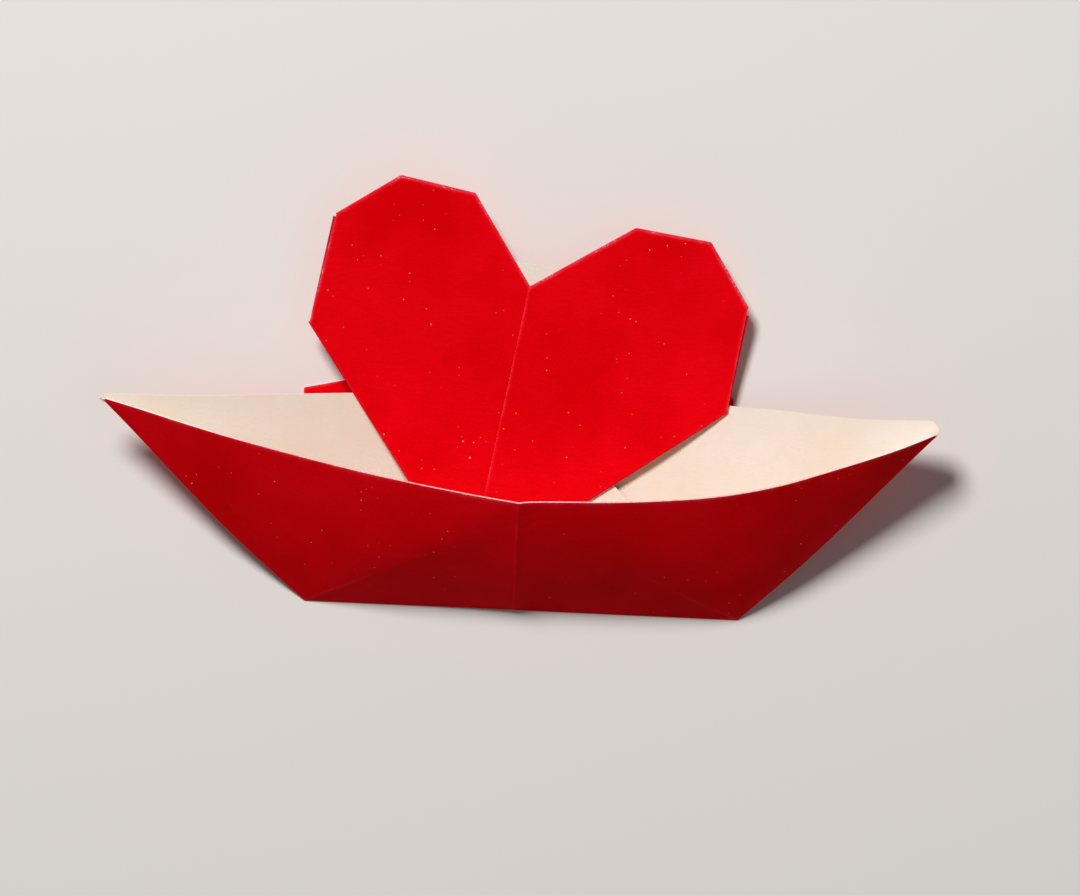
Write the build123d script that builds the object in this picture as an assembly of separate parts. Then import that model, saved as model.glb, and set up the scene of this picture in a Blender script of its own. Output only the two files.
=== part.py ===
from build123d import *
import os
from math import atan2, cos, degrees, exp, radians, sin, tan

# A paper boat with a heart standing in it, folded from one square sheet: red outside, white inside.
# Its sharp keel can't stand, so it lies on its back, and that is how it is modelled.
# X runs from tip to tip, Y from the keel to the gunwale, Z up from the surface it lies on.
# The origin is on that surface, half a wall's height above the keel.

# Paper
SHEET = 0.15             # thickness of one layer
LAYER_GAP = 0.05         # air between two layers that are folded together

# Hull: two equal walls that share the keel and the bow lines
HULL_HEIGHT = 37.5       # flat height of a wall, keel to gunwale
KEEL_LENGTH = 75.0
BOW_ANGLE = 45.0         # flat angle between the keel's line and a bow line
OPENING_ANGLE = 52.8     # between the walls, at the middle of the keel
LEFT_BEND_FADE = 3.7     # the left end bends most beside its diagonal
RIGHT_BEND_FADE = -1.0   # the right end bends a little more towards its bow

# Rear panel, hinged at the keel, that the boat lies on
REAR_WIDTH = 74.4        # at its top edge; at its fold it is as wide as the keel
REAR_HEIGHT = 38.7
REAR_SHIFT = -1.9        # from the keel's middle to the top edge's
REAR_CORNER = 0.8        # its right corner is rounded
REAR_BEVEL_RUN = 7.6     # and its left one falls away
REAR_BEVEL_DROP = 1.7

# Inner flap: a triangle that rises from the keel between the back wall and the heart
FLAP_HEIGHT = 37.9
FLAP_EDGE_ANGLE = 45.0
FLAP_LIFT = 3.6          # angle between the back wall and the flap

# Heart: lobes and backing lie in its own plane, measured from its tip along and across the slit
HEART_TIP_SHIFT = -8.6   # from the keel's middle to the tip
HEART_TIP_RISE = 4.6     # from the keel to the tip, along the flap
HEART_LEAN = 8.6         # the slit leans this much to the right
HEART_REST_LEFT = -30.0  # the heart leans on the back gunwale at these two places
HEART_REST_RIGHT = 34.6
REST_GAP = 0.25
LEFT_LOBE_WIDTH = 38.2   # slit to side edge
RIGHT_LOBE_WIDTH = 37.5
RIGHT_TIP_RISE = 1.6     # the right lobe ends this much above the left one's tip
LOBE_EDGE_HEIGHT = 38.3  # tip to the top of the sloping edge
LEFT_SIDE_HEIGHT = 57.8  # tip to the top of the side edge
RIGHT_SIDE_HEIGHT = 56.9
LOBE_TOP_HEIGHT = 67.0   # tip to the top edge
LOBE_TOP_OUTER = 29.0    # the top edge's two ends, from the slit
LOBE_TOP_INNER = 16.0
NOTCH_HEIGHT = 53.3
LEFT_LOBE_TURN = 3.2     # the left lobe is turned towards the slit
SLIT_GAP = 0.3
BACKING_HEIGHT = 57.5    # white layer that shows in the notch
BACKING_INSET_LEFT = -0.4
BACKING_INSET_RIGHT = 1.0

RULINGS = 10             # straight lines that each bent end is worked out from
FOLD_RELIEF = 0.02       # a rounded fold stays this far inside the faces it joins
FOLD_END = 0.4           # and the keel's fold stops this far from the keel's corners
WIDEST_BEND = 80.0       # an end's whole bend is looked for below this
BEND_PRECISION = 1e-7

# Layers of the heart, from the back
BACKING, CROWN, LOBES = 0, 1, 2

HALF = SHEET / 2
LAYER = SHEET + LAYER_GAP
HALF_KEEL = KEEL_LENGTH / 2
KEEL_Y = -HULL_HEIGHT / 2
KEEL_Z = HALF + LAYER
X_AXIS = Vector(1, 0, 0)
Y_AXIS = Vector(0, 1, 0)
Z_AXIS = Vector(0, 0, 1)


# Shared helpers

def on_keel(x):
    """A point on the keel line."""
    return Vector(x, KEEL_Y, KEEL_Z)


def tilted(angle):
    """Direction square to the keel, raised by an angle from the resting surface."""
    return Vector(0, cos(radians(angle)), sin(radians(angle)))


def tilted_normal(angle):
    """Direction square to the paper that rises at that angle, towards the front."""
    return Vector(0, -sin(radians(angle)), cos(radians(angle)))


def turned(vector, axis, angle):
    return vector.rotate(Axis((0, 0, 0), axis), angle)


def polygon(corners):
    return Face(Wire.make_polygon(corners))


def paper(face, normal):
    """One layer of paper around its middle surface."""
    return Solid.extrude(face.translate(normal * -HALF), normal * SHEET)


def rounded_fold(start, end, layers):
    """The rounded edge where paper turns back over a number of layers."""
    radius = (layers * LAYER) / 2 + HALF - FOLD_RELIEF
    run = end - start
    return Solid.make_cylinder(radius, run.length, Plane(origin=start, z_dir=run))


# Bent ends of the hull's walls

DIAGONAL_ANGLE = 180 - degrees(atan2(HULL_HEIGHT, HALF_KEEL))
ANGLES = [DIAGONAL_ANGLE + (BOW_ANGLE - DIAGONAL_ANGLE) * i / RULINGS for i in range(RULINGS + 1)]
WALL_UP = tilted(OPENING_ANGLE)
WALL_NORMAL = tilted_normal(OPENING_ANGLE)
MIDDLE_UP = tilted(OPENING_ANGLE / 2)
MIDDLE_NORMAL = tilted_normal(OPENING_ANGLE / 2)


def bend_shares(fade):
    """How one end's whole bend is spread over the rulings."""
    weights = [exp(-fade * (i + 0.5) / RULINGS) for i in range(RULINGS)]
    return [weight / sum(weights) for weight in weights]


def bend_end(side, bend, shares):
    """Rulings of the front wall's end, from its diagonal to its bow line.

    Each ruling is its direction from the keel's corner, the direction across it towards
    the bow, and the wall's normal there. The paper keeps its lengths.
    """
    start = radians(DIAGONAL_ANGLE)
    along = X_AXIS * side * cos(start) + WALL_UP * sin(start)
    across = X_AXIS * side * sin(start) - WALL_UP * cos(start)
    rulings = [(along, across, WALL_NORMAL)]
    for i, share in enumerate(shares):
        across = turned(across, along, side * bend * share)
        normal = across.cross(along)
        step = ANGLES[i + 1] - ANGLES[i]
        along, across = turned(along, normal, step), turned(across, normal, step)
        rulings.append((along, across, normal * side))
    return rulings


def closed_end(side, fade):
    """The bent end whose bow line lies midway between the two walls."""
    shares = bend_shares(fade)
    low, high = 0.0, WIDEST_BEND
    while high - low > BEND_PRECISION:
        bend = (low + high) / 2
        bow_line = bend_end(side, bend, shares)[-1][0]
        if bow_line.dot(MIDDLE_NORMAL) > 0:
            low = bend
        else:
            high = bend
    return bend_end(side, high, shares)


ENDS = {-1: closed_end(-1, LEFT_BEND_FADE), 1: closed_end(1, RIGHT_BEND_FADE)}


def gunwale_point(side, index, offset):
    along, _, normal = ENDS[side][index]
    reach = HULL_HEIGHT / sin(radians(ANGLES[index]))
    return on_keel(side * HALF_KEEL) + along * reach + normal * offset


def gunwale_direction(side, index):
    """Direction of the gunwale's edge, towards the bow."""
    along, across, _ = ENDS[side][index]
    angle = radians(ANGLES[index])
    return along * cos(angle) + across * sin(angle)


def skin_corner(side, offset):
    """Keel corner of the skin that lies at an offset from the walls' middle surface."""
    return on_keel(side * HALF_KEEL) - MIDDLE_UP * (offset / sin(radians(OPENING_ANGLE / 2)))


def skin_tip(side, offset):
    """Tip of that skin, square to the bow line in the plane between the walls."""
    along, _, normal = ENDS[side][-1]
    square = MIDDLE_NORMAL.cross(along) * side
    return gunwale_point(side, -1, 0) + square * (offset / square.dot(normal))


def gunwale_spans(side, offset):
    """Two cubic curves that follow the front gunwale from its middle to the tip."""
    spans = []
    middle = RULINGS // 2
    for first, last in ((0, middle), (middle, RULINGS)):
        points = [gunwale_point(side, i, offset) for i in range(first, last + 1)]
        if last == RULINGS:
            points[-1] = skin_tip(side, offset)
        third = sum((b - a).length for a, b in zip(points, points[1:])) / 3
        spans.append([
            points[0],
            points[0] + gunwale_direction(side, first) * third,
            points[-1] - gunwale_direction(side, last) * third,
            points[-1],
        ])
    return spans


def mirrored(point):
    """The same place on the back wall."""
    return point - MIDDLE_NORMAL * (2 * (point - on_keel(0)).dot(MIDDLE_NORMAL))


def on_both_walls(rows):
    """A curved face of the front wall, and its twin on the back wall."""
    yield Face.make_bezier_surface(rows)
    yield Face.make_bezier_surface([[mirrored(point) for point in row] for row in rows])


def wall_skins(offset):
    """Both walls' middle triangles and bent ends, on one side of the paper."""
    left, right = skin_corner(-1, offset), skin_corner(1, offset)
    middle = gunwale_point(1, 0, offset)
    yield polygon([left, right, middle])
    yield polygon([mirrored(left), mirrored(right), mirrored(middle)])
    for side, corner in ((-1, left), (1, right)):
        for span in gunwale_spans(side, offset):
            yield from on_both_walls([[corner] * len(span), span])


def rims():
    """The paper's own edge along both gunwales."""
    for side in ENDS:
        for outer, inner in zip(gunwale_spans(side, HALF), gunwale_spans(side, -HALF)):
            yield from on_both_walls([outer, inner])


def hull():
    faces = [*wall_skins(HALF), *wall_skins(-HALF), *rims()]
    return Solid(Shell(Face.sew_faces(faces)[0]))


# Rear panel and inner flap

def rear_panel():
    left, right = REAR_SHIFT - REAR_WIDTH / 2, REAR_SHIFT + REAR_WIDTH / 2
    top = KEEL_Y + REAR_HEIGHT
    corners = [
        (-HALF_KEEL, KEEL_Y),
        (HALF_KEEL, KEEL_Y),
        (right, top),
        (left + REAR_BEVEL_RUN, top),
        (left, top - REAR_BEVEL_DROP),
    ]
    face = polygon([Vector(x, y, HALF) for x, y in corners])
    rounded = face.vertices().sort_by_distance((right, top, HALF))[0]
    return paper(face.fillet_2d(REAR_CORNER, [rounded]), Z_AXIS)


def keel_fold():
    """Joins the hull and the rear panel along the keel."""
    height = (HALF + KEEL_Z) / 2
    reach = HALF_KEEL - FOLD_END
    return rounded_fold(Vector(-reach, KEEL_Y, height), Vector(reach, KEEL_Y, height), 1)


def on_flap(x, rise):
    """A point on the inner flap's middle surface."""
    return on_keel(x) + tilted(FLAP_LIFT) * rise


def inner_flap():
    half_base = (FLAP_HEIGHT - HALF) / tan(radians(FLAP_EDGE_ANGLE))
    corners = [on_flap(-half_base, HALF), on_flap(half_base, HALF), on_flap(0, FLAP_HEIGHT)]
    return paper(polygon(corners), tilted_normal(FLAP_LIFT))


# Heart

def back_gunwale_at(x):
    """A point on the back wall's top edge, by its place along the boat."""
    side = 1 if x > 0 else -1
    points = [mirrored(gunwale_point(side, i, 0)) for i in range(RULINGS + 1)]
    for near, far in zip(points, points[1:]):
        if abs(far.X) >= abs(x):
            share = (x - near.X) / (far.X - near.X)
            return near + (far - near) * share
    return points[-1]


HEART_TIP = on_flap(HEART_TIP_SHIFT, HEART_TIP_RISE)
REST_LIFT = Z_AXIS * (SHEET + REST_GAP)
TO_LEFT_REST = back_gunwale_at(HEART_REST_LEFT) + REST_LIFT - HEART_TIP
TO_RIGHT_REST = back_gunwale_at(HEART_REST_RIGHT) + REST_LIFT - HEART_TIP
HEART_NORMAL = TO_RIGHT_REST.cross(TO_LEFT_REST).normalized()
HEART_UPRIGHT = (Y_AXIS - HEART_NORMAL * HEART_NORMAL.dot(Y_AXIS)).normalized()
HEART_UP = turned(HEART_UPRIGHT, HEART_NORMAL, -HEART_LEAN)
HEART_ACROSS = HEART_UP.cross(HEART_NORMAL)


def on_heart(across, up, layer):
    """A point of one of the heart's layers."""
    return HEART_TIP + HEART_ACROSS * across + HEART_UP * up + HEART_NORMAL * (layer * LAYER)


def lobe_outline(side):
    """A lobe's outer corners as (across, up), from the sloping edge round to the notch."""
    width = LEFT_LOBE_WIDTH if side < 0 else RIGHT_LOBE_WIDTH
    side_height = LEFT_SIDE_HEIGHT if side < 0 else RIGHT_SIDE_HEIGHT
    corners = [
        (side * width, LOBE_EDGE_HEIGHT),
        (side * width, side_height),
        (side * LOBE_TOP_OUTER, LOBE_TOP_HEIGHT),
        (side * LOBE_TOP_INNER, LOBE_TOP_HEIGHT),
    ]
    if side < 0:
        turn = radians(LEFT_LOBE_TURN)
        corners = [(u * cos(turn) + v * sin(turn), v * cos(turn) - u * sin(turn)) for u, v in corners]
    return corners + [(side * SLIT_GAP / 2, NOTCH_HEIGHT)]


def lobe_tip(side):
    return (side * SLIT_GAP / 2, 0 if side < 0 else RIGHT_TIP_RISE)


def folded_over(point, start, end):
    """Where a point lands when the paper is folded along the line from start to end."""
    du, dv = end[0] - start[0], end[1] - start[1]
    share = ((point[0] - start[0]) * du + (point[1] - start[1]) * dv) / (du * du + dv * dv)
    foot = (start[0] + du * share, start[1] + dv * share)
    return (2 * foot[0] - point[0], 2 * foot[1] - point[1])


def meeting(start, end, other_start, other_end):
    """Where two lines in the heart's plane cross."""
    du, dv = end[0] - start[0], end[1] - start[1]
    eu, ev = other_end[0] - other_start[0], other_end[1] - other_start[1]
    gap_u, gap_v = other_start[0] - start[0], other_start[1] - start[1]
    share = (gap_u * ev - gap_v * eu) / (du * ev - dv * eu)
    return (start[0] + du * share, start[1] + dv * share)


def heart_layer(outline, layer):
    return paper(polygon([on_heart(u, v, layer) for u, v in outline]), HEART_NORMAL)


def heart_fold(start, end, low, high):
    """The rounded edge that joins two of the heart's layers."""
    middle = (low + high) / 2
    return rounded_fold(on_heart(*start, middle), on_heart(*end, middle), high - low)


def lobe(side):
    """One red lobe, its crown folded back behind it, and the rounded folds."""
    edge, shoulder, outer, inner, notch = lobe_outline(side)
    tip = lobe_tip(side)
    outer_corner = meeting(edge, shoulder, outer, inner)
    inner_corner = meeting(tip, notch, outer, inner)
    crown = [shoulder, outer, inner, notch,
             folded_over(inner_corner, inner, notch), folded_over(outer_corner, shoulder, outer)]
    pieces = [heart_layer([tip, edge, shoulder, outer, inner, notch], LOBES), heart_layer(crown, CROWN)]
    for start, end in ((shoulder, outer), (outer, inner), (inner, notch)):
        pieces.append(heart_fold(start, end, CROWN, LOBES))
    pieces.append(heart_fold(tip, edge, BACKING, LOBES))
    return pieces


def backing():
    """White layer behind the lobes, folded to them along the sloping edges."""
    outline = [lobe_tip(-1), lobe_tip(1)]
    insets = {1: BACKING_INSET_RIGHT, -1: BACKING_INSET_LEFT}
    for side in (1, -1):
        edge, shoulder = lobe_outline(side)[:2]
        height = (BACKING_HEIGHT - edge[1]) / (shoulder[1] - edge[1])
        top = (edge[0] + (shoulder[0] - edge[0]) * height - side * insets[side], BACKING_HEIGHT)
        outline += [edge, top] if side > 0 else [top, edge]
    return heart_layer(outline, BACKING)


def folded_boat():
    body = hull()
    others = [keel_fold(), rear_panel(), inner_flap(), backing(), *lobe(-1), *lobe(1)]
    for piece in others:
        body = body.fuse(piece)
    return body


os.makedirs("parts", exist_ok=True)
export_step(folded_boat(), "parts/folded_boat.step")
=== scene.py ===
from math import atan2, cos, degrees, exp, hypot, pi, radians, sin

import bmesh
import bpy
import numpy as np
from mathutils import Matrix, Vector, noise


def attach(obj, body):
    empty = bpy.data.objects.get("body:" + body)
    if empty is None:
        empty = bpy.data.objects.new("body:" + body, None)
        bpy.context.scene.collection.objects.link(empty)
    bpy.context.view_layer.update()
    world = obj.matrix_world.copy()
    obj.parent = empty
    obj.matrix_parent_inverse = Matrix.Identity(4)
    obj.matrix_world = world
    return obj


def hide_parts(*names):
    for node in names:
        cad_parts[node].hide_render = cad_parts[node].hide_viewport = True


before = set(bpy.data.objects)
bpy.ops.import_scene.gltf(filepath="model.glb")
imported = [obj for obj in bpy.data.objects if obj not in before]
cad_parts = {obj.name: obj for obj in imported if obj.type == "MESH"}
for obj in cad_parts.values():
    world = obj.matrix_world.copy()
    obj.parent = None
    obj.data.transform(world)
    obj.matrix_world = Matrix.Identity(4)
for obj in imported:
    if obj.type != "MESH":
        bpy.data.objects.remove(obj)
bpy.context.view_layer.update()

# A folded paper boat with a heart, red outside and white inside, lying on its back.
# Lengths are in millimetres in the frame's axes, and turn into metres as a mesh is made.
# A side is -1 for the boat's left end or lobe and 1 for its right one. A wall is 1 for the
# front one and -1 for the back one.
MM = 0.001
NODE = "folded_boat"

# Paper
SHEET = 0.15
LAYER = 0.20

# Hull
HULL_HEIGHT = 37.5
HALF_KEEL = 37.5
BOW_ANGLE = 45.0
DIAGONAL_ANGLE = 135.0
OPENING_ANGLE = 52.8

# How the bend of each end spreads, over shares of the turn from the diagonal to the bow line
BEND_FADE = {-1: 3.7, 1: -1.0}
BEND_LEAD, BEND_RISE = 0.06, 0.08
DIAGONAL_CREASE = {-1: 3.5, 1: 0.35}
DIAGONAL_WIDTH = 0.02

# The bend that closes a bow is found by halving, between none and this
MOST_BEND = 0.05
HALVINGS = 50

# Bows: each wall's last ruling is this many degrees from the bow line, and the cap bulges past it
BOW_LENGTH = 53.0
BOW_ROUND = {-1: 0.6, 1: 1.2}
BOW_BULGE = {-1: 0.9, 1: 1.5}

# How far each wall moves out from the middle at the tip, by side and then by wall. It fades over the
# reach, in degrees from the bow line, and starts this far from the keel's corner
TIP_OPENING = {-1: {1: -0.7, -1: 1.6}, 1: {1: 0.1, -1: 3.0}}
OPENING_REACH = 13.0
OPENING_START = 18.0
PINCH = {-1: {1: 0.0, -1: 0.0}, 1: {1: -1.4, -1: -0.5}}
PINCH_AT, PINCH_REACH = 21.0, 12.0

# How far round from the bow line the cap's rulings count, as a share of the last ruling's turn
CAP_MIDDLE, CAP_SPREAD = 0.8, 0.4

# The bead on the left tip: its radius, and its rings in radii from the bow line's end
TIP_BEAD = 0.42
BEAD_RINGS = (-1.6, -0.8, 0.0, 0.5, 0.9)

# Centre crease: its ends at the keel and the gunwale, and its ridge, which has a fine lip
CREASE_FOOT, CREASE_TOP = -1.3, 0.25
RIDGE_HEIGHT, RIDGE_LEFT_RUN, RIDGE_RIGHT_RUN = 0.5, 9.0, 2.2
LIP_HEIGHT, LIP_RUN = 0.05, 0.6
RIDGE_START = 3.0

# Slack of the paper. Each wave has a height, a size and a seed, and grows over the calm distance
WALL_BULGE = 1.6
WALL_WAVES = ((0.26, 24.0, 3.1), (0.09, 9.0, 7.7))
WALL_CALM = 12.0
BACK_WAVE = -0.4
HEART_WAVES = ((0.35, 30.0, 1.7), (0.10, 11.0, 5.3))
HEART_CALM = 30.0

HULL_SHEET = 0.24
KEEL_MIDDLE = np.array((0.0, -HULL_HEIGHT / 2, SHEET / 2 + LAYER))

# Rear panel and inner flap
REAR_WIDTH = 74.4
REAR_HEIGHT = 38.7
REAR_SHIFT = -1.9
REAR_CORNER = 0.8
REAR_CORNER_STEPS = 4
REAR_BEVEL_RUN = 7.6
REAR_BEVEL_DROP = 1.7
FLAP_HEIGHT = 37.9
FLAP_LIFT = 3.6

# Heart
HEART_TIP = (-8.6, 4.6)
HEART_LEAN = 8.6
HEART_REST = (-30.0, 34.6)
REST_GAP = 0.25
LOBE_WIDTH = {-1: 38.2, 1: 37.5}
TIP_RISE = {-1: 0.0, 1: 1.6}
LOBE_EDGE_HEIGHT = 38.3
LOBE_SIDE_HEIGHT = {-1: 57.8, 1: 56.9}
LOBE_TOP_HEIGHT = 67.0
LOBE_TOP_OUTER = 29.0
LOBE_TOP_INNER = 16.0
NOTCH_HEIGHT = 53.3
LEFT_LOBE_TURN = 3.2
SLIT_OVERLAP = 0.2
SLIT_DRIFT = {-1: 0.0, 1: 1.0}

# Along the slit the right lobe stands proud and the left one is pressed down, each fading over its run
PROUD_HEIGHT, PROUD_RUN = 0.60, 8.0
CURL_HEIGHT, CURL_RUN = 0.17, 3.0
DIP_DEPTH, DIP_RUN = 0.25, 1.6
BELLY_ROUNDNESS = 0.7

# The white layer behind the lobes
BACKING_HEIGHT = 57.5
BACKING_REACH = {-1: 0.45, 1: 0.5}
BACKING_SIDE = {-1: 0.98, 1: 0.93}
BACKING_TOP = 20.0

# Where each sheet of the heart lies, in layers in front of its backing
BACKING_LEVEL, CROWN_LEVEL, FOLD_LEVEL, FRONT_LEVEL = 0, 1, 1.5, 2

# Rounded folds
FOLD_RADIUS = 0.195
FOLD_SIDES = 10
FOLD_STEPS = 24
ASKEW = (0.3, 0.2, 1.0)

# Wear, from 0 to 1, fades over this distance from a fold or an edge
WEAR_WIDTH = 0.28
WEAR_POWER = 1.5
STAIN_WIDTH = 1.0

# Wear and painted highlights on the hull: the lines along the rim and the centre crease are wear with a
# painted highlight, and the line along the diagonal is a painted highlight. Along the front gunwale the
# rim's amount grows to its full amount over the run towards the bows
RIM_WEAR_AND_HIGHLIGHT, BARE_WEAR, RIM_FADE = 0.9, 0.1, 0.40
BARE_START, BARE_RUN = 45.0, 22.0
CREASE_HIGHLIGHT_AND_WEAR, CREASE_HIGHLIGHT_WIDTH = 0.24, 0.22
DIAGONAL_PAINTED_HIGHLIGHT, DIAGONAL_HIGHLIGHT_WIDTH, DIAGONAL_HIGHLIGHT_FADE = 0.30, 0.5, 20
KEEL_WEAR, BOW_WEAR, CORNER_WEAR = 0.35, 0.2, 0.6
TIP_WEAR = {-1: 1.3, 1: 1.9}

# Wear on the panels, and along a lobe's slope, side, shoulder, top, flank and slit
REAR_SIDE_WEAR, REAR_TOP_WEAR = 0.6, 0.8
LOBE_WEAR = {-1: [0.15, 0.9, 0.85, 0.95, 0.6, 0.0], 1: [0.15, 0.55, 0.8, 0.95, 0.8, 0.45]}
CROWN_WEAR, FOLD_WEAR, SLOPE_WEAR = 0.3, 0.68, 0.15

# Lint gathers here on the heart
LINT_CENTRE = (-10.5, 7.5, 3.0)
LINT_REACH = 7.0

# Mesh: rows beside an edge, rows and rulings across the hull, and the pitch of a panel's faces
EDGE_ROWS = (0.12, 0.3, 0.6, 1.1, 2.0)
INNER_ROWS = 20
CREASE_RULINGS, GUNWALE_RULINGS = 26, 70
CAP_STEPS = 14
CROWDING = 1.6
HEART_PITCH, PANEL_PITCH = 2.0, 3.0
CUT_SNAP = 1e-5
TOUCH = 1e-6
SHARP_ANGLE = 25.0

# The photograph's frame, and where its view puts the boat
PHOTO_WIDTH, PHOTO_HEIGHT = 1080, 895
PIXELS_PER_MM = 5.766
KEEL_PIXEL = (520.9, 609.1)
CAMERA_ROLL = 2.56
CAMERA_TILT = -6.77
CAMERA_YAW = -2.53
CAMERA_DISTANCE = 1400.0
SENSOR_WIDTH = 36.0

# In metres, as Blender's own settings are
VIEW_LIMIT = 20.0
FLOOR_HALF = 3.0


# Numbers and vectors

def clamped(value):
    return min(max(value, 0.0), 1.0)


def unit(v):
    return v / np.linalg.norm(v)


def turned(v, axis, angle):
    """v turned about a unit axis by an angle in radians."""
    return v * cos(angle) + np.cross(axis, v) * sin(angle) + axis * (axis @ v) * (1 - cos(angle))


def tilted(angle):
    return np.array((0.0, cos(radians(angle)), sin(radians(angle))))


X_AXIS = np.array((1.0, 0.0, 0.0))
WALL_UP = tilted(OPENING_ANGLE)
WALL_NORMAL = tilted(OPENING_ANGLE + 90)
MIDDLE_NORMAL = tilted(OPENING_ANGLE / 2 + 90)


def mirrored(v):
    """A direction on the front wall, carried over to the back wall."""
    return v - MIDDLE_NORMAL * (2 * (v @ MIDDLE_NORMAL))


def wander(point, size, seed):
    """Smooth random height, between -1 and 1, that changes over a distance of about size."""
    return noise.noise(Vector((point[0] / size, point[1] / size, seed)))


def waves(point, kinds, shift=0):
    """Waves added up, each with its height, size and seed."""
    return sum(height * wander(point, size, seed + shift) for height, size, seed in kinds)


# Hull: each half is a cone of straight rulings from its keel corner

def eased(start, end, count):
    """Values from start to end that crowd together at both ends."""
    s = np.linspace(-1, 1, count)
    t = (np.sign(s) * (1 - (1 - np.abs(s)) ** CROWDING) + 1) / 2
    return start + (end - start) * t


def bend_density(side, angle):
    """How sharply one end bends at a flat angle, not scaled."""
    t = (DIAGONAL_ANGLE - angle) / (DIAGONAL_ANGLE - BOW_ANGLE)
    ramp = clamped((t + BEND_LEAD) / BEND_RISE)
    crease = DIAGONAL_CREASE[side] * exp(-(t / DIAGONAL_WIDTH) ** 2)
    return ramp * exp(-BEND_FADE[side] * max(t, 0.0)) + crease


def cone_rulings(side, angles, bend):
    """Directions of the front wall's rulings, from the keel line to the bow line."""
    start = radians(angles[0])
    along = X_AXIS * side * cos(start) + WALL_UP * sin(start)
    across = X_AXIS * side * sin(start) - WALL_UP * cos(start)
    rulings = [along]
    for a, b in zip(angles, angles[1:]):
        step = radians(b - a)
        share = bend_density(side, (a + b) / 2) * (a - b)
        across = turned(across, along, side * bend * share)
        normal = np.cross(across, along)
        along, across = turned(along, normal, step), turned(across, normal, step)
        rulings.append(along)
    return rulings


def closed_cone(side, angles):
    """The rulings of the bend whose bow line lies midway between the walls."""
    low, high = 0.0, MOST_BEND
    for _ in range(HALVINGS):
        bend = (low + high) / 2
        if cone_rulings(side, angles, bend)[-1] @ MIDDLE_NORMAL > 0:
            low = bend
        else:
            high = bend
    return cone_rulings(side, angles, high)


def crease_at(y):
    """The centre crease's place along the keel, by its height on the wall."""
    return CREASE_FOOT + (CREASE_TOP - CREASE_FOOT) * y / HULL_HEIGHT


def hull_angles(side):
    """Flat angles of the rulings that end on the centre crease, then of those that end on the gunwale."""
    heights = eased(0.0, HULL_HEIGHT, CREASE_RULINGS)
    inner = [degrees(atan2(y, side * crease_at(y) - HALF_KEEL)) for y in heights]
    return np.array([*inner, *eased(inner[-1], BOW_ANGLE, GUNWALE_RULINGS)[1:]])


ANGLES = {side: hull_angles(side) for side in (-1, 1)}
CONES = {side: closed_cone(side, ANGLES[side]) for side in (-1, 1)}


def reach(side, angle):
    """Flat distance from the keel corner to the centre crease, or to the gunwale."""
    c, s = cos(radians(angle)), sin(radians(angle))
    lean = (CREASE_TOP - CREASE_FOOT) / HULL_HEIGHT
    to_crease = (CREASE_FOOT - side * HALF_KEEL) / (side * c - lean * s)
    if s * to_crease < HULL_HEIGHT - TOUCH and to_crease > 0:
        return to_crease
    return HULL_HEIGHT / s


def opened(along, angle, side, wall):
    """A ruling moved out where the tip stands open, and in where the end is pinched."""
    gap = angle - BOW_ANGLE
    amount = TIP_OPENING[side][wall] * exp(-(gap / OPENING_REACH) ** 2)
    amount += PINCH[side][wall] * exp(-((gap - PINCH_AT) / PINCH_REACH) ** 2)
    return unit(along + MIDDLE_NORMAL * (wall * amount / BOW_LENGTH))


def bow_cap(front, back, bulge):
    """Directions round the bow, from the front wall's last two rulings to the back wall's."""
    pull = bulge / BOW_LENGTH * 4 / 3
    start, end = front[-1], back[-1]
    first = start + unit(front[-1] - front[-2]) * pull
    second = end + unit(back[-1] - back[-2]) * pull
    for i in range(1, CAP_STEPS):
        t = i / CAP_STEPS
        yield t, unit(
            start * (1 - t) ** 3 + first * 3 * t * (1 - t) ** 2
            + second * 3 * t * t * (1 - t) + end * t ** 3
        )


def loop_of_rulings(side):
    """Rulings right round a keel corner: closed direction, opened direction, flat angle and wall."""
    limit = BOW_ANGLE + BOW_ROUND[side]
    kept = [(along, angle) for along, angle in zip(CONES[side], ANGLES[side]) if angle > limit]
    angles = [angle for _, angle in kept]
    closed = {1: [along for along, _ in kept], -1: [mirrored(along) for along, _ in kept]}
    open_ = {
        wall: [opened(v, angle, side, wall) for v, angle in zip(closed[wall], angles)]
        for wall in closed
    }
    loop = [(v, w, angle, 1) for v, w, angle in zip(closed[1], open_[1], angles)]
    closed_cap, open_cap = (bow_cap(ends[1], ends[-1], BOW_BULGE[side]) for ends in (closed, open_))
    for (t, v), (_, w) in zip(closed_cap, open_cap):
        angle = BOW_ANGLE + (angles[-1] - BOW_ANGLE) * (CAP_MIDDLE + CAP_SPREAD * abs(0.5 - t))
        loop.append((v, w, angle, 1 if t < 0.5 else -1))
    back = [(v, w, angle, -1) for v, w, angle in zip(closed[-1], open_[-1], angles)]
    return loop + back[::-1]


def crease_height(x, y, wall):
    """The centre crease's ridge: steep on its right, easy on its left."""
    if wall < 0:
        return 0.0
    gap = x - crease_at(y)
    run = RIDGE_RIGHT_RUN if gap > 0 else RIDGE_LEFT_RUN
    ridge = RIDGE_HEIGHT * exp(-abs(gap) / run) + LIP_HEIGHT * exp(-abs(gap) / LIP_RUN)
    return ridge * min(y / RIDGE_START, 1.0)


def wall_bulge(x, y, wall):
    """The front wall swells a little between the keel and the gunwale, least at the bows."""
    share = clamped(y / HULL_HEIGHT)
    ends = max(0.0, 1 - (x / (HALF_KEEL + HULL_HEIGHT)) ** 2)
    return WALL_BULGE * sin(pi * share) * ends if wall > 0 else 0.0


def wall_waves(x, y, wall):
    """Slight waves of a hand-folded wall; none at the keel. The back wall has only room inwards."""
    calm = clamped(y / WALL_CALM)
    ends = max(0.0, 1 - (x / (HALF_KEEL + HULL_HEIGHT)) ** 4)
    wave = waves((x, y), WALL_WAVES, wall)
    return calm * ends * (wave if wall > 0 else BACK_WAVE * abs(wave))


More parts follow.
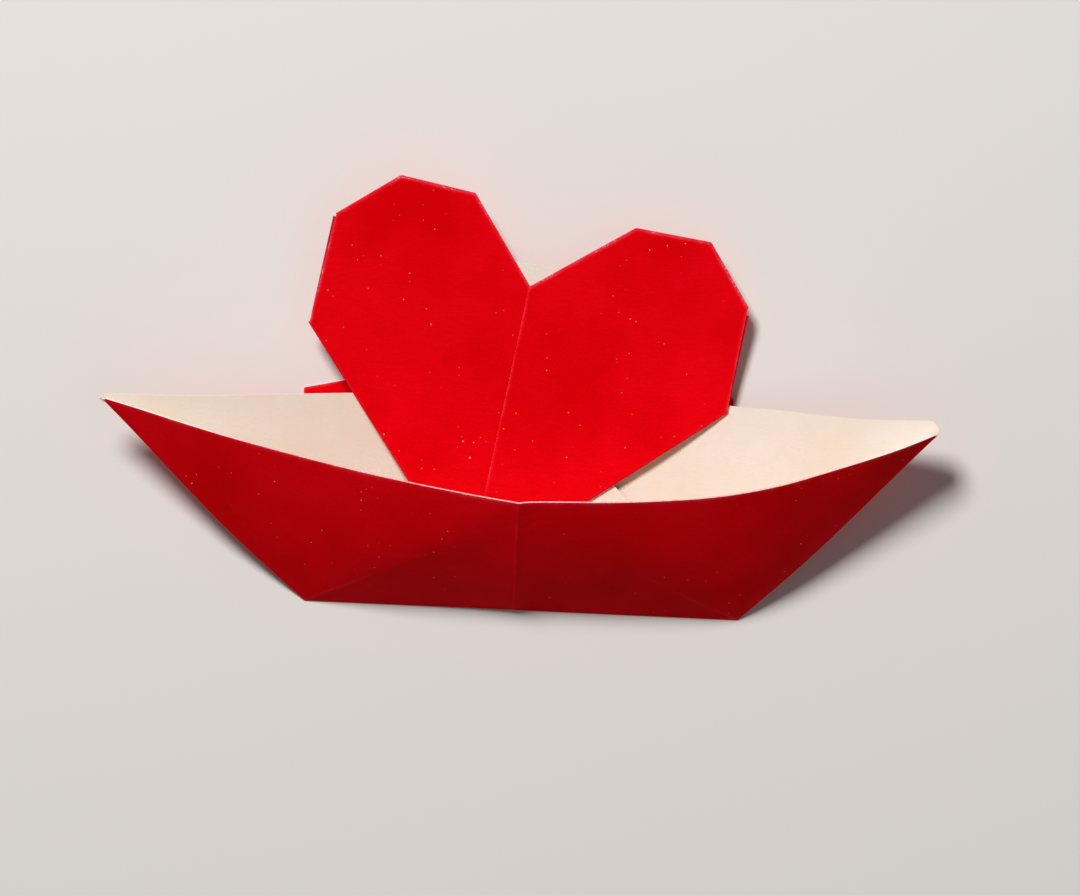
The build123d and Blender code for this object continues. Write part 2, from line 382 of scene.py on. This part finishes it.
class Cloth:
    """Vertices, faces and a value at each vertex of one piece while it is being made: its wear and
    painted highlight, or on the backing its stain.
    """

    def __init__(self):
        self.points, self.wear, self.faces = [], [], []

    def point(self, position, wear=0.0):
        self.points.append(np.array(position, float))
        self.wear.append(wear)
        return len(self.points) - 1

    def face(self, *corners):
        self.faces.append(corners)


def radial_rows(length):
    """Distances from the keel corner along a ruling, closer together near its end."""
    rows = [length - d for d in reversed(EDGE_ROWS)] + [length]
    start = rows[0]
    inner = [start * ((i + 1) / (INNER_ROWS + 1)) for i in range(INNER_ROWS)]
    return inner + rows


def worn(distance):
    return exp(-(distance / WEAR_WIDTH) ** WEAR_POWER)


def hull_wear(side, wall, flat_x, flat_y, radius, angle):
    """How worn the wall is at a place on it, with the painted highlights along the rim and the creases,
    as the most that any of its lines gives.
    """
    bare = clamped((abs(flat_x) - BARE_START) / BARE_RUN) if wall > 0 else 1.0
    # Rim: wear, with a painted highlight band beside the gunwale's edge
    rim = (RIM_WEAR_AND_HIGHLIGHT + BARE_WEAR * bare) * exp(-(HULL_HEIGHT - flat_y) / RIM_FADE)
    # Centre crease: a painted highlight along its ridge, with some wear
    centre = CREASE_HIGHLIGHT_AND_WEAR * exp(-((flat_x - crease_at(flat_y)) / CREASE_HIGHLIGHT_WIDTH) ** 2)
    keel = KEEL_WEAR * worn(flat_y)
    bow = BOW_WEAR * worn(radius * radians(angle - BOW_ANGLE))
    from_tip = hypot(flat_x - side * (HALF_KEEL + HULL_HEIGHT), flat_y - HULL_HEIGHT)
    tip = exp(-(from_tip / TIP_WEAR[side]) ** 2)
    # Diagonal crease: a painted highlight, strongest near the keel corner
    off_diagonal = radius * radians(angle - DIAGONAL_ANGLE) / DIAGONAL_HIGHLIGHT_WIDTH
    diagonal = DIAGONAL_PAINTED_HIGHLIGHT * exp(-off_diagonal ** 2 - radius / DIAGONAL_HIGHLIGHT_FADE)
    return min(1.0, max(rim, centre, keel, bow, tip, diagonal))


def hull_half(cloth, side, shared):
    """One half of the hull, as a cone about its keel corner."""
    corner = KEEL_MIDDLE + X_AXIS * side * HALF_KEEL
    pole = cloth.point(corner, CORNER_WEAR)
    columns = []
    for closed, open_, angle, wall in loop_of_rulings(side):
        column = [pole]
        normal = WALL_NORMAL if wall > 0 else mirrored(WALL_NORMAL)
        for radius in radial_rows(reach(side, angle)):
            flat_x = side * (HALF_KEEL + radius * cos(radians(angle)))
            flat_y = radius * sin(radians(angle))
            key = (round(flat_x, 4), round(flat_y, 4), wall if flat_y > TOUCH else 0)
            if key in shared:
                column.append(shared[key])
                continue
            shapes = (crease_height, wall_bulge, wall_waves)
            out = sum(shape(flat_x, flat_y, wall) for shape in shapes)
            wear = hull_wear(side, wall, flat_x, flat_y, radius, angle)
            share = clamped((radius - OPENING_START) / (BOW_LENGTH - OPENING_START))
            along = unit(closed + (open_ - closed) * share * share * (3 - 2 * share))
            index = cloth.point(corner + along * radius + normal * out, wear)
            if abs(flat_x - crease_at(flat_y)) < TOUCH or flat_y < TOUCH:
                shared[key] = index
            column.append(index)
        columns.append(column)
    for a, b in zip(columns, columns[1:]):
        for row in range(len(a) - 1):
            quad = (a[row], a[row + 1], b[row + 1], b[row])
            ring = [v for i, v in enumerate(quad) if v not in quad[:i]]
            if len(ring) > 2:
                cloth.face(*(ring if side < 0 else ring[::-1]))


def hull_cloth():
    cloth = Cloth()
    shared = {}
    for side in (-1, 1):
        hull_half(cloth, side, shared)
    return cloth


# Flat panels, made in their own plane and then placed

def inset_lines(outline):
    """Cuts that run beside each edge of an outline."""
    count = len(outline)
    for i in range(count):
        (ax, ay), (bx, by) = outline[i], outline[(i + 1) % count]
        length = hypot(bx - ax, by - ay)
        nx, ny = -(by - ay) / length, (bx - ax) / length
        for gap in EDGE_ROWS:
            yield (ax + nx * gap, ay + ny * gap), (nx, ny)


def grid_lines(outline, pitch):
    xs, ys = [p[0] for p in outline], [p[1] for p in outline]
    for low, high, axis in ((min(xs), max(xs), 0), (min(ys), max(ys), 1)):
        for i in range(1, int((high - low) / pitch) + 1):
            at = low + i * pitch
            yield ((at, 0), (1, 0)) if axis == 0 else ((0, at), (0, 1))


def edge_distance(x, y, a, b):
    """Distance from a place to the edge between two corners."""
    dx, dy = b[0] - a[0], b[1] - a[1]
    t = clamped(((x - a[0]) * dx + (y - a[1]) * dy) / (dx * dx + dy * dy))
    return hypot(x - a[0] - dx * t, y - a[1] - dy * t)


def panel(cloth, outline, place, edge_wear, pitch):
    """Fills an outline, counter-clockwise, with small faces. edge_wear has one value an edge."""
    mesh = bmesh.new()
    mesh.faces.new([mesh.verts.new((x, y, 0)) for x, y in outline])
    for (x, y), (nx, ny) in [*inset_lines(outline), *grid_lines(outline, pitch)]:
        everything = mesh.verts[:] + mesh.edges[:] + mesh.faces[:]
        bmesh.ops.bisect_plane(
            mesh, geom=everything, dist=CUT_SNAP, plane_co=(x, y, 0), plane_no=(nx, ny, 0))
    mesh.verts.index_update()
    edges = list(zip(outline, outline[1:] + outline[:1], edge_wear))
    first = len(cloth.points)
    for vertex in mesh.verts:
        x, y = vertex.co.x, vertex.co.y
        wear = max(amount * worn(edge_distance(x, y, a, b)) for a, b, amount in edges)
        cloth.point(place(x, y), wear)
    for face in mesh.faces:
        cloth.face(*[first + v.index for v in face.verts])
    mesh.free()


def round_fold(cloth, path, radius, wear):
    """The rounded edge of a fold: a closed rod along a path."""
    run = unit(path[-1] - path[0])
    across = unit(np.cross(run, ASKEW))
    other = np.cross(run, across)
    rings = []
    for centre in path:
        ring = []
        for k in range(FOLD_SIDES):
            angle = 2 * pi * k / FOLD_SIDES
            offset = across * cos(angle) + other * sin(angle)
            ring.append(cloth.point(centre + offset * radius, wear))
        rings.append(ring)
    for a, b in zip(rings, rings[1:]):
        for k in range(FOLD_SIDES):
            m = (k + 1) % FOLD_SIDES
            cloth.face(a[k], a[m], b[m], b[k])
    cloth.face(*rings[0][::-1])
    cloth.face(*rings[-1])


def rear_outline():
    left, right = REAR_SHIFT - REAR_WIDTH / 2, REAR_SHIFT + REAR_WIDTH / 2
    corners = [(-HALF_KEEL, 0.0), (HALF_KEEL, 0.0)]
    for i in range(REAR_CORNER_STEPS + 1):
        angle = radians(90 * i / REAR_CORNER_STEPS)
        x = right - REAR_CORNER * (1 - cos(angle))
        corners.append((x, REAR_HEIGHT - REAR_CORNER * (1 - sin(angle))))
    return corners + [(left + REAR_BEVEL_RUN, REAR_HEIGHT), (left, REAR_HEIGHT - REAR_BEVEL_DROP)]


def on_rear(x, y):
    return np.array((x, KEEL_MIDDLE[1] + y, SHEET / 2))


def flap_outline():
    half_base = FLAP_HEIGHT - SHEET
    return [(-half_base, SHEET / 2), (half_base, SHEET / 2), (0.0, FLAP_HEIGHT)]


def on_flap(x, y):
    return KEEL_MIDDLE + X_AXIS * x + tilted(FLAP_LIFT) * y


# Heart

def back_gunwale_at(x):
    """A point on the back wall's top edge, by its place along the boat."""
    side = 1 if x > 0 else -1
    corner = KEEL_MIDDLE + X_AXIS * side * HALF_KEEL
    rulings = zip(CONES[side][CREASE_RULINGS:], ANGLES[side][CREASE_RULINGS:])
    points = [corner + mirrored(along) * reach(side, angle) for along, angle in rulings]
    places = [abs(p[0]) for p in points]
    return np.array([x, *(np.interp(abs(x), places, [p[k] for p in points]) for k in (1, 2))])


def heart_axes():
    """The heart's tip, and its directions across, up and out of its front."""
    tip = on_flap(*HEART_TIP)
    lift = np.array((0, 0, SHEET + REST_GAP))
    left, right = (back_gunwale_at(x) for x in HEART_REST)
    normal = unit(np.cross(right + lift - tip, left + lift - tip))
    upright = unit(np.array((0, 1.0, 0)) - normal * normal[1])
    up = turned(upright, normal, -radians(HEART_LEAN))
    return tip, np.cross(up, normal), up, normal


TIP, ACROSS, UP, NORMAL = heart_axes()


def heart_waves(u, v):
    """The whole heart's slight curl; none at its tip."""
    return clamped(v / HEART_CALM) * waves((u, v), HEART_WAVES)


def on_heart(u, v, level, lift=0.0):
    return TIP + ACROSS * u + UP * v + NORMAL * (level * LAYER + heart_waves(u, v) + lift)


def lobe_outline(side):
    """A lobe's corners: tip, sloping edge, shoulder, top edge's two ends, notch."""
    corners = [
        (side * LOBE_WIDTH[side], LOBE_EDGE_HEIGHT),
        (side * LOBE_WIDTH[side], LOBE_SIDE_HEIGHT[side]),
        (side * LOBE_TOP_OUTER, LOBE_TOP_HEIGHT),
        (side * LOBE_TOP_INNER, LOBE_TOP_HEIGHT),
    ]
    if side < 0:
        turn = radians(LEFT_LOBE_TURN)
        c, s = cos(turn), sin(turn)
        corners = [(u * c + v * s, v * c - u * s) for u, v in corners]
    slit = -side * SLIT_OVERLAP / 2
    slope = (corners[0][1] - TIP_RISE[side]) / (corners[0][0] - slit)
    tip = (slit - SLIT_DRIFT[side], TIP_RISE[side] - SLIT_DRIFT[side] * slope)
    return [tip, *corners, (slit, NOTCH_HEIGHT)]


def folded_over(point, start, end):
    """Where a point lands when the paper is folded along a line."""
    du, dv = end[0] - start[0], end[1] - start[1]
    share = ((point[0] - start[0]) * du + (point[1] - start[1]) * dv) / (du * du + dv * dv)
    foot = (start[0] + du * share, start[1] + dv * share)
    return (2 * foot[0] - point[0], 2 * foot[1] - point[1])


def meeting(a, b, c, d):
    """Where the lines a-b and c-d cross."""
    du, dv = b[0] - a[0], b[1] - a[1]
    eu, ev = d[0] - c[0], d[1] - c[1]
    share = ((c[0] - a[0]) * ev - (c[1] - a[1]) * eu) / (du * ev - dv * eu)
    return (a[0] + du * share, a[1] + dv * share)


def slit_lift(side, u, v):
    """The right lobe's cut edge stands a little proud, and the left one's lies a little low."""
    belly = sin(pi * clamped(v / NOTCH_HEIGHT)) ** BELLY_ROUNDNESS
    if side < 0:
        return -DIP_DEPTH * exp(min(u, 0.0) / DIP_RUN) * belly
    away = -max(u, 0.0)
    return PROUD_HEIGHT * exp(away / PROUD_RUN) * belly + CURL_HEIGHT * exp(away / CURL_RUN)


def edge_path(start, end, place):
    """Points along a straight edge, each put in its place."""
    start, run = np.array(start), np.array(end) - start
    return [place(*(start + run * (i / FOLD_STEPS))) for i in range(FOLD_STEPS + 1)]


def lobe_cloths(side):
    """A lobe's front sheet, its folded-back crown and its rounded folds."""
    def in_front(u, v):
        return on_heart(u, v, FRONT_LEVEL, slit_lift(side, u, v))

    def at_fold(u, v):
        return on_heart(u, v, FOLD_LEVEL, slit_lift(side, u, v))

    def behind(u, v):
        return on_heart(u, v, CROWN_LEVEL)

    outline = lobe_outline(side)
    tip, edge, shoulder, outer, inner, notch = outline
    outer_corner = meeting(edge, shoulder, outer, inner)
    inner_corner = meeting(tip, notch, outer, inner)
    folded = [
        shoulder, outer, inner, notch,
        folded_over(inner_corner, inner, notch), folded_over(outer_corner, shoulder, outer),
    ]
    wear = LOBE_WEAR[side]
    if side < 0:
        # The left lobe's outlines run clockwise; turned round, each edge keeps its wear
        outline, folded, wear = outline[::-1], folded[::-1], wear[-2::-1] + wear[-1:]
    front, crown, folds = Cloth(), Cloth(), Cloth()
    panel(front, outline, in_front, wear, HEART_PITCH)
    panel(crown, folded, behind, [CROWN_WEAR] * len(folded), HEART_PITCH)
    for start, end in ((shoulder, outer), (outer, inner), (inner, notch)):
        round_fold(folds, edge_path(start, end, at_fold), FOLD_RADIUS, FOLD_WEAR)
    round_fold(folds, edge_path(tip, edge, behind), LAYER + SHEET / 2, SLOPE_WEAR)
    return front, crown, folds


def backing_outline():
    """Its tip, right side, straight top and left side. The sides look out beside the lobes."""
    right, left = (lobe_outline(side)[1:3] for side in (1, -1))
    tops = []
    for side, (edge, shoulder) in ((1, right), (-1, left)):
        share = BACKING_SIDE[side]
        tops.append((edge[0] + (shoulder[0] - edge[0]) * share + side * BACKING_REACH[side],
                     edge[1] + (shoulder[1] - edge[1]) * share))
    return [(0.0, TIP_RISE[1]), right[0], tops[0], (BACKING_TOP, BACKING_HEIGHT),
            (-BACKING_TOP, BACKING_HEIGHT), tops[1], left[0]]


# Materials

def rgb(red, green, blue):
    """A colour as it shows on a screen, made linear."""
    values = []
    for value in (red, green, blue):
        v = value / 255
        values.append(v / 12.92 if v < 0.04045 else ((v + 0.055) / 1.055) ** 2.4)
    return (*values, 1.0)


# Red paper: two tones, fibres, lint, and its colour as wear and painted highlight go from low to high;
# the lighter reds and pinks also paint highlights along the hull's rim and creases
RED_TONES = rgb(241, 4, 20), rgb(224, 0, 10)
RED_FIBRE = rgb(206, 0, 8)
LINT_COLOUR = rgb(255, 190, 180)
WEAR_AND_HIGHLIGHT_STAGES = (
    (0.03, 0.22, rgb(248, 26, 42)),
    (0.22, 0.60, rgb(236, 66, 90)),
    (0.66, 0.98, rgb(253, 224, 220)),
)
WEAR_COVER = 0.9

# White paper: two tones, fibres, and the red of the backing's side edges
WHITE_TONES = rgb(243, 236, 226), rgb(240, 227, 211)
WHITE_FIBRE = rgb(236, 216, 196)
STAIN = rgb(196, 22, 44)

# Cut edges: two tones each, and bare paper
EDGE_TONES = rgb(255, 240, 234), rgb(250, 196, 192)
GUNWALE_TONES = rgb(255, 205, 198), rgb(250, 150, 150)
BARE_PAPER = rgb(250, 236, 224)

FLOOR_COLOUR = rgb(232, 229, 225)
FIBRE_STRETCH = (1.0, 7.0, 7.0)
FIBRE_SHARE, GRAIN_SHARE = 0.6, 0.4
SPECK_CORE = 0.6
CLUSTER_CORE = 0.4


class Nodes:
    """Short names for making a material's nodes."""

    def __init__(self, name):
        self.material = bpy.data.materials.new(name)
        self.material.use_nodes = True
        self.tree = self.material.node_tree
        self.shader = self.tree.nodes["Principled BSDF"]

    def new(self, kind, **values):
        node = self.tree.nodes.new(kind)
        for key, value in values.items():
            setattr(node, key, value)
        return node

    def link(self, source, target):
        self.tree.links.new(source, target)

    def plug(self, value, socket):
        """Sets a socket to a number or a colour, or links another socket to it."""
        if isinstance(value, (int, float, tuple)):
            socket.default_value = value
        else:
            self.link(value, socket)

    def noise(self, scale, detail=3.0, roughness=0.5, stretch=(1, 1, 1), distortion=0.0):
        place = self.new("ShaderNodeTexCoord").outputs["Object"]
        mapping = self.new("ShaderNodeMapping")
        mapping.inputs["Scale"].default_value = stretch
        self.link(place, mapping.inputs["Vector"])
        node = self.new("ShaderNodeTexNoise")
        node.inputs["Scale"].default_value = scale
        node.inputs["Detail"].default_value = detail
        node.inputs["Roughness"].default_value = roughness
        node.inputs["Distortion"].default_value = distortion
        self.link(mapping.outputs["Vector"], node.inputs["Vector"])
        return node.outputs["Fac"]

    def ramp(self, value, low, high, bottom=0.0, top=1.0):
        node = self.new("ShaderNodeMapRange")
        node.inputs["From Min"].default_value = low
        node.inputs["From Max"].default_value = high
        node.inputs["To Min"].default_value = bottom
        node.inputs["To Max"].default_value = top
        self.link(value, node.inputs["Value"])
        return node.outputs["Result"]

    def math(self, operation, a, b):
        node = self.new("ShaderNodeMath", operation=operation)
        for value, socket in zip((a, b), node.inputs):
            self.plug(value, socket)
        return node.outputs[0]

    def times(self, a, b):
        return self.math("MULTIPLY", a, b)

    def mix(self, factor, a, b):
        node = self.new("ShaderNodeMix", data_type="RGBA")
        self.link(factor, node.inputs["Factor"])
        self.plug(a, node.inputs[6])
        self.plug(b, node.inputs[7])
        return node.outputs[2]

    def amount(self, name):
        return self.new("ShaderNodeAttribute", attribute_name=name).outputs["Fac"]

    def bump(self, height, strength, distance):
        node = self.new("ShaderNodeBump")
        node.inputs["Strength"].default_value = strength
        node.inputs["Distance"].default_value = distance
        self.link(height, node.inputs["Height"])
        self.link(node.outputs["Normal"], self.shader.inputs["Normal"])

    def surface(self, colour, roughness, shine):
        values = {"Base Color": colour, "Roughness": roughness, "Specular IOR Level": shine}
        for name, value in values.items():
            self.plug(value, self.shader.inputs[name])


def paper_surface(nodes, strength):
    """Fibres and fine grain, as bump; returns the fibre pattern."""
    fibres = nodes.noise(480.0, detail=4.0, roughness=0.6, stretch=FIBRE_STRETCH, distortion=0.4)
    grain = nodes.noise(4200.0, detail=2.0)
    height = nodes.math("ADD", nodes.times(fibres, FIBRE_SHARE), nodes.times(grain, GRAIN_SHARE))
    nodes.bump(height, strength, distance=0.00012)
    return fibres


def lint(nodes, cell_scale, size, share):
    """Tiny pale specks, one in some of the cells: 1 on a speck and 0 elsewhere."""
    cells = nodes.new("ShaderNodeTexVoronoi")
    cells.inputs["Scale"].default_value = cell_scale
    nodes.link(nodes.new("ShaderNodeTexCoord").outputs["Object"], cells.inputs["Vector"])
    chance = nodes.new("ShaderNodeSeparateColor")
    nodes.link(cells.outputs["Color"], chance.inputs["Color"])
    near = nodes.ramp(cells.outputs["Distance"], size * SPECK_CORE, size, bottom=1.0, top=0.0)
    return nodes.times(near, nodes.math("LESS_THAN", chance.outputs["Red"], share))


def lint_cluster(nodes):
    """More specks, caught low on the heart's left lobe."""
    away = nodes.new("ShaderNodeVectorMath", operation="DISTANCE")
    nodes.link(nodes.new("ShaderNodeTexCoord").outputs["Object"], away.inputs[0])
    away.inputs[1].default_value = [mm * MM for mm in LINT_CENTRE]
    span = LINT_REACH * MM
    near = nodes.ramp(away.outputs["Value"], span * CLUSTER_CORE, span, bottom=1.0, top=0.0)
    return nodes.times(lint(nodes, cell_scale=620.0, size=0.11, share=0.38), near)


def all_lint(nodes):
    """Coarse and fine specks, more of them in some places than in others, and the cluster."""
    places = nodes.ramp(nodes.noise(65.0, detail=2.0), 0.46, 0.60, bottom=0.15)
    coarse = lint(nodes, cell_scale=400.0, size=0.064, share=0.26)
    fine = lint(nodes, cell_scale=1000.0, size=0.10, share=0.16)
    scattered = nodes.times(nodes.math("MAXIMUM", coarse, fine), places)
    return nodes.math("MAXIMUM", scattered, lint_cluster(nodes))


def wear_and_highlight_marks(nodes):
    """The wear of folds and edges, and the painted highlights along the hull's rim and creases, broken up
    finely and in longer stretches.
    """
    broken = nodes.ramp(nodes.noise(2600.0, roughness=0.7), 0.36, 0.60, bottom=0.45)
    stretches = nodes.ramp(nodes.noise(230.0, detail=2.0), 0.38, 0.60, bottom=0.45, top=1.15)
    return nodes.times(nodes.times(nodes.amount("wear"), broken), stretches)


def red_paper():
    nodes = Nodes("red_paper")
    fibres = paper_surface(nodes, strength=0.45)
    blotches = nodes.ramp(nodes.noise(50.0, roughness=0.55), 0.40, 0.68)
    colour = nodes.mix(blotches, *RED_TONES)
    colour = nodes.mix(nodes.ramp(fibres, 0.35, 0.7, top=0.35), colour, RED_FIBRE)
    colour = nodes.mix(all_lint(nodes), colour, LINT_COLOUR)
    wear_and_highlight_amount = wear_and_highlight_marks(nodes)
    # Pink and pale tones of wear, which along the hull's rim and creases are also painted highlights
    for low, high, tone in WEAR_AND_HIGHLIGHT_STAGES:
        colour = nodes.mix(nodes.ramp(wear_and_highlight_amount, low, high, top=WEAR_COVER), colour, tone)
    smooth = nodes.ramp(fibres, 0.3, 0.7, bottom=0.52, top=0.64)
    nodes.surface(colour, nodes.math("ADD", smooth, nodes.times(wear_and_highlight_amount, 0.2)), 0.005)
    return nodes.material


def white_paper():
    nodes = Nodes("white_paper")
    fibres = paper_surface(nodes, strength=0.35)
    clouds = nodes.ramp(nodes.noise(60.0, roughness=0.6), 0.35, 0.70)
    colour = nodes.mix(clouds, *WHITE_TONES)
    colour = nodes.mix(nodes.ramp(fibres, 0.35, 0.7, top=0.30), colour, WHITE_FIBRE)
    colour = nodes.mix(nodes.amount("stain"), colour, STAIN)
    nodes.surface(colour, nodes.ramp(fibres, 0.3, 0.7, bottom=0.72, top=0.85), 0.15)
    return nodes.material


def raw_edge(name, tones):
    """Paper's cut edge in two tones, almost white where it is most worn."""
    nodes = Nodes(name)
    fibres = nodes.noise(1800.0, roughness=0.6)
    colour = nodes.mix(nodes.ramp(fibres, 0.4, 0.65), *tones)
    colour = nodes.mix(nodes.ramp(nodes.amount("wear"), 0.91, 0.98), colour, BARE_PAPER)
    nodes.surface(colour, 0.9, 0.15)
    return nodes.material


# Pieces

def make_piece(name, cloth, materials, thickness=None, amount="wear"):
    """A mesh from a cloth; with a thickness its first material is outside and the second inside."""
    mesh = bpy.data.meshes.new(name)
    mesh.from_pydata([tuple(p * MM) for p in cloth.points], [], cloth.faces)
    mesh.attributes.new(amount, "FLOAT", "POINT").data.foreach_set("value", cloth.wear)
    for material in materials:
        mesh.materials.append(material)
    piece = bpy.data.objects.new(name, mesh)
    bpy.context.scene.collection.objects.link(piece)
    if thickness:
        solid = piece.modifiers.new("thickness", "SOLIDIFY")
        solid.thickness = thickness * MM
        solid.offset = 0.0
        solid.use_even_offset = True
        solid.material_offset = 1
        solid.material_offset_rim = 2
        apply_modifiers(piece)
    smooth_but_for(piece, SHARP_ANGLE)
    return piece


def apply_modifiers(piece):
    graph = bpy.context.evaluated_depsgraph_get()
    mesh = bpy.data.meshes.new_from_object(piece.evaluated_get(graph))
    old = piece.data
    piece.modifiers.clear()
    piece.data = mesh
    bpy.data.meshes.remove(old)
    mesh.name = piece.name


def smooth_but_for(piece, angle):
    """Smooth shading, with edges sharper than the angle kept crisp."""
    mesh = bmesh.new()
    mesh.from_mesh(piece.data)
    for face in mesh.faces:
        face.smooth = True
    for edge in mesh.edges:
        edge.smooth = len(edge.link_faces) == 2 and edge.calc_face_angle(0.0) < radians(angle)
    mesh.to_mesh(piece.data)
    mesh.free()


def join(name, parts):
    """One piece from several meshes, with their materials kept."""
    mesh = bmesh.new()
    materials = []
    for part in parts:
        base = len(materials)
        materials += list(part.data.materials)
        before = len(mesh.faces)
        mesh.from_mesh(part.data)
        mesh.faces.ensure_lookup_table()
        for face in mesh.faces[before:]:
            face.material_index += base
    piece = bpy.data.objects.new(name, bpy.data.meshes.new(name))
    for material in materials:
        piece.data.materials.append(material)
    mesh.to_mesh(piece.data)
    mesh.free()
    bpy.context.scene.collection.objects.link(piece)
    for part in parts:
        data = part.data
        bpy.data.objects.remove(part)
        bpy.data.meshes.remove(data)
    return piece


RED, WHITE = red_paper(), white_paper()
EDGE = raw_edge("raw_edge", EDGE_TONES)
GUNWALE = raw_edge("gunwale_edge", GUNWALE_TONES)
RED_IN_FRONT = (RED, WHITE, EDGE)
WHITE_IN_FRONT = (WHITE, RED, EDGE)


def tip_bead():
    """The blunt, fluffy end of the left bow."""
    _, along, angle, _ = min(loop_of_rulings(-1), key=lambda ruling: ruling[2])
    corner = KEEL_MIDDLE - X_AXIS * HALF_KEEL
    end = corner + along * reach(-1, angle)
    cloth = Cloth()
    round_fold(cloth, [end + along * TIP_BEAD * t for t in BEAD_RINGS], TIP_BEAD, 1.0)
    return cloth


def make_hull():
    walls = make_piece("walls", hull_cloth(), (RED, WHITE, GUNWALE), HULL_SHEET)
    return join("hull", [walls, make_piece("bead", tip_bead(), (WHITE,))])


def make_rear_panel():
    cloth = Cloth()
    outline = rear_outline()
    wear = [0.0, REAR_SIDE_WEAR] + [REAR_TOP_WEAR] * (len(outline) - 2)
    panel(cloth, outline, on_rear, wear, PANEL_PITCH)
    return make_piece("rear_panel", cloth, RED_IN_FRONT, SHEET)


def make_inner_flap():
    cloth = Cloth()
    panel(cloth, flap_outline(), on_flap, [0.0] * 3, PANEL_PITCH)
    return make_piece("inner_flap", cloth, WHITE_IN_FRONT, SHEET)


def make_backing():
    """The backing's side edges, that look out beside the lobes, are red as the lobes are."""
    cloth = Cloth()
    outline = backing_outline()
    unworn = [0] * len(outline)
    panel(cloth, outline, lambda u, v: on_heart(u, v, BACKING_LEVEL), unworn, HEART_PITCH)
    sides = [(outline[1], outline[2]), (outline[5], outline[6])]
    for i, point in enumerate(cloth.points):
        u, v = (point - TIP) @ ACROSS, (point - TIP) @ UP
        away = min(edge_distance(u, v, *ends) for ends in sides)
        cloth.wear[i] = 1.0 if away < STAIN_WIDTH else 0.0
    return make_piece("heart_backing", cloth, WHITE_IN_FRONT, SHEET, "stain")


def make_lobe(name, side):
    front, crown, folds = lobe_cloths(side)
    parts = [
        make_piece("front", front, RED_IN_FRONT, SHEET),
        make_piece("crown", crown, WHITE_IN_FRONT, SHEET),
        make_piece("folds", folds, (RED,)),
    ]
    return join(name, parts)


def make_boat():
    pieces = [
        make_hull(), make_rear_panel(), make_inner_flap(), make_backing(),
        make_lobe("heart_left_lobe", -1), make_lobe("heart_right_lobe", 1),
    ]
    for piece in pieces:
        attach(piece, "root")
        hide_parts(NODE)


# Surroundings

def make_floor():
    mesh = bpy.data.meshes.new("floor")
    corners = [(x * FLOOR_HALF, y * FLOOR_HALF, 0) for x, y in ((-1, -1), (1, -1), (1, 1), (-1, 1))]
    mesh.from_pydata(corners, [], [(0, 1, 2, 3)])
    floor = bpy.data.objects.new("floor", mesh)
    bpy.context.scene.collection.objects.link(floor)
    nodes = Nodes("floor")
    nodes.shader.inputs["Base Color"].default_value = FLOOR_COLOUR
    nodes.shader.inputs["Roughness"].default_value = 0.9
    mesh.materials.append(nodes.material)


def add_lamp(name, position, size, power, colour):
    lamp = bpy.data.lights.new(name, "AREA")
    lamp.shape = "DISK"
    lamp.size = size
    lamp.energy = power
    lamp.color = colour
    holder = bpy.data.objects.new(name, lamp)
    holder.location = position
    holder.rotation_euler = (-Vector(position)).to_track_quat("-Z", "Y").to_euler()
    bpy.context.scene.collection.objects.link(holder)


def make_light():
    add_lamp("key", (-0.23, 0.66, 1.05), size=0.30, power=14.3, colour=(1.0, 0.985, 0.965))
    add_lamp("fill", (0.6, -0.2, 1.4), size=1.2, power=0.9, colour=(0.97, 0.98, 1.0))
    world = bpy.data.worlds.new("world")
    world.use_nodes = True
    sky = world.node_tree.nodes["Background"].inputs
    sky["Color"].default_value = (1, 1, 1, 1)
    sky["Strength"].default_value = 0.09
    bpy.context.scene.world = world


def camera_axes():
    """The view's right, up and backward directions, in the frame's axes."""
    tilt, yaw, roll = radians(CAMERA_TILT), radians(CAMERA_YAW), radians(CAMERA_ROLL)
    right = np.array((cos(yaw), -sin(tilt) * sin(yaw), cos(tilt) * sin(yaw)))
    up = np.array((0.0, cos(tilt), sin(tilt)))
    back = np.cross(right, up)
    return right * cos(roll) + up * sin(roll), up * cos(roll) - right * sin(roll), back


def make_camera():
    right, up, back = camera_axes()
    keel = np.array((0.0, KEEL_MIDDLE[1], 0.0))
    across = (PHOTO_WIDTH / 2 - KEEL_PIXEL[0]) / PIXELS_PER_MM
    above = (KEEL_PIXEL[1] - PHOTO_HEIGHT / 2) / PIXELS_PER_MM
    place = keel + right * across + up * above + back * CAMERA_DISTANCE
    data = bpy.data.cameras.new("camera")
    data.sensor_width = SENSOR_WIDTH
    data.lens = SENSOR_WIDTH * CAMERA_DISTANCE * PIXELS_PER_MM / PHOTO_WIDTH
    data.clip_end = VIEW_LIMIT
    camera = bpy.data.objects.new("camera", data)
    axes = Matrix([list(row) for row in np.array((right, up, back)).T]).to_4x4()
    axes.translation = Vector(place * MM)
    camera.matrix_world = axes
    bpy.context.scene.collection.objects.link(camera)
    bpy.context.scene.camera = camera


make_camera()
make_boat()
make_floor()
make_light()
bpy.context.scene.view_settings.view_transform = "Standard"
